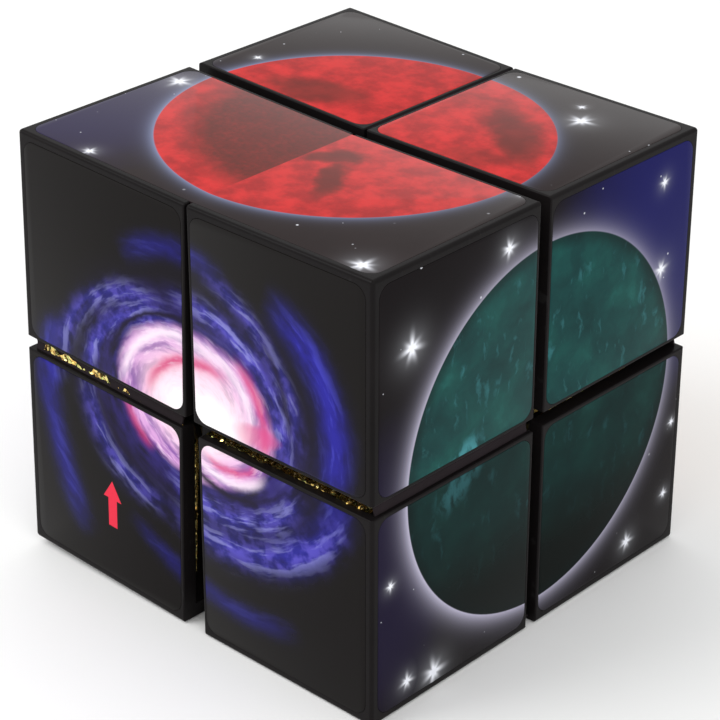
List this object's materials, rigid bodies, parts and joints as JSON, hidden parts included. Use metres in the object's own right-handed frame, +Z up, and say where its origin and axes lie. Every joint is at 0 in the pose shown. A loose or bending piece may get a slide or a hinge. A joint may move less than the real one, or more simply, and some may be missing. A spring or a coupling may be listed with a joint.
{
  "type": "folding star cube",
  "caption": "Hollow folding puzzle cube of hinged corner units with printed space pictures outside and gold foil facets inside; it opens and turns inside out into a star.",
  "frame": {"origin": "middle of the base of the whole at rest, with its left half a little open, on the surface that it stands on", "axes": "+X towards the right face with the green planet, -Y towards the front face with the spiral galaxy, +Z up"},
  "size_m": [0.062, 0.06, 0.061],
  "materials": {
    "black_plastic": "glossy moulded black plastic",
    "hinge_film": "satin black film",
    "gold_foil": "gold glitter foil on a thin plastic film",
    "label_top": "glossy laminated print, red planet",
    "label_front": "glossy laminated print, pink and violet spiral galaxy",
    "label_right": "glossy laminated print, green and blue planet",
    "label_left": "glossy laminated print, violet ringed planet",
    "label_rear": "glossy laminated print, amber banded planet",
    "label_bottom": "glossy laminated print, blue planet"
  },
  "bodies": {
    "upper_front_left": {"upper_front_left_outer_shell": "black_plastic", "upper_front_left_inner_shell": "black_plastic", "upper_front_left_foil": "gold_foil", "upper_front_left_label_left": "label_left", "upper_front_left_label_front": "label_front", "upper_front_left_label_top": "label_top", "hinge_front_left": "hinge_film"},
    "upper_front_right": {"upper_front_right_outer_shell": "black_plastic", "upper_front_right_inner_shell": "black_plastic", "upper_front_right_foil": "gold_foil", "upper_front_right_label_right": "label_right", "upper_front_right_label_front": "label_front", "upper_front_right_label_top": "label_top"},
    "upper_rear_right": {"upper_rear_right_outer_shell": "black_plastic", "upper_rear_right_inner_shell": "black_plastic", "upper_rear_right_foil": "gold_foil", "upper_rear_right_label_right": "label_right", "upper_rear_right_label_rear": "label_rear", "upper_rear_right_label_top": "label_top", "hinge_top_rear": "hinge_film"},
    "upper_rear_left": {"upper_rear_left_outer_shell": "black_plastic", "upper_rear_left_inner_shell": "black_plastic", "upper_rear_left_foil": "gold_foil", "upper_rear_left_label_left": "label_left", "upper_rear_left_label_rear": "label_rear", "upper_rear_left_label_top": "label_top", "hinge_left_rear": "hinge_film"},
    "lower_front_left": {"lower_front_left_outer_shell": "black_plastic", "lower_front_left_inner_shell": "black_plastic", "lower_front_left_foil": "gold_foil", "lower_front_left_label_left": "label_left", "lower_front_left_label_front": "label_front", "lower_front_left_label_bottom": "label_bottom"},
    "lower_front_right": {"lower_front_right_outer_shell": "black_plastic", "lower_front_right_inner_shell": "black_plastic", "lower_front_right_foil": "gold_foil", "lower_front_right_label_right": "label_right", "lower_front_right_label_front": "label_front", "lower_front_right_label_bottom": "label_bottom", "hinge_right_front": "hinge_film"},
    "lower_rear_right": {"lower_rear_right_outer_shell": "black_plastic", "lower_rear_right_inner_shell": "black_plastic", "lower_rear_right_foil": "gold_foil", "lower_rear_right_label_right": "label_right", "lower_rear_right_label_rear": "label_rear", "lower_rear_right_label_bottom": "label_bottom", "hinge_rear_right": "hinge_film", "hinge_bottom_right": "hinge_film"},
    "lower_rear_left": {"lower_rear_left_outer_shell": "black_plastic", "lower_rear_left_inner_shell": "black_plastic", "lower_rear_left_foil": "gold_foil", "lower_rear_left_label_left": "label_left", "lower_rear_left_label_rear": "label_rear", "lower_rear_left_label_bottom": "label_bottom", "hinge_bottom_left": "hinge_film"}
  },
  "joints": [
    {"name": "rear_right_fold", "type": "hinge", "parent": "lower_rear_right", "child": "upper_rear_right", "pos_m": [0.01612, 0.03015, 0.03], "axis": [-1, 0, 0], "range_deg": [0, 179.95]},
    {"name": "top_rear_fold", "type": "hinge", "parent": "upper_rear_right", "child": "upper_rear_left", "pos_m": [0.00097, 0.01515, 0.06015], "axis": [0, 1, 0], "range_deg": [0, 178.05]},
    {"name": "left_rear_fold", "type": "hinge", "parent": "upper_rear_left", "child": "lower_rear_left", "pos_m": [-0.03016, 0.01515, 0.03102], "axis": [0, 1, 0], "range_deg": [0, 179.95]},
    {"name": "bottom_right_fold", "type": "hinge", "parent": "lower_rear_right", "child": "lower_front_right", "pos_m": [0.01612, 0, -0.00015], "axis": [1, 0, 0], "range_deg": [0, 179.95]},
    {"name": "right_front_fold", "type": "hinge", "parent": "lower_front_right", "child": "upper_front_right", "pos_m": [0.03112, -0.01515, 0.03], "axis": [0, 1, 0], "range_deg": [0, 179.95]},
    {"name": "top_crease_fold", "type": "hinge", "parent": "upper_front_right", "child": "upper_front_left", "pos_m": [0.00097, -0.01515, 0.06015], "axis": [0, 1, 0], "range_deg": [0, 178.05]},
    {"name": "front_left_fold", "type": "hinge", "parent": "upper_front_left", "child": "lower_front_left", "pos_m": [-0.01517, -0.03015, 0.03052], "axis": [-0.9995, 0, 0.0332], "range_deg": [0, 179.95]}
  ],
  "couplings": [
    {"joint": "top_rear_fold", "follows": "top_crease_fold", "ratio": 1},
    {"joint": "left_rear_fold", "follows": "right_front_fold", "ratio": 1},
    {"joint": "rear_right_fold", "follows": "right_front_fold", "ratio": 1},
    {"joint": "front_left_fold", "follows": "right_front_fold", "ratio": 1}
  ]
}
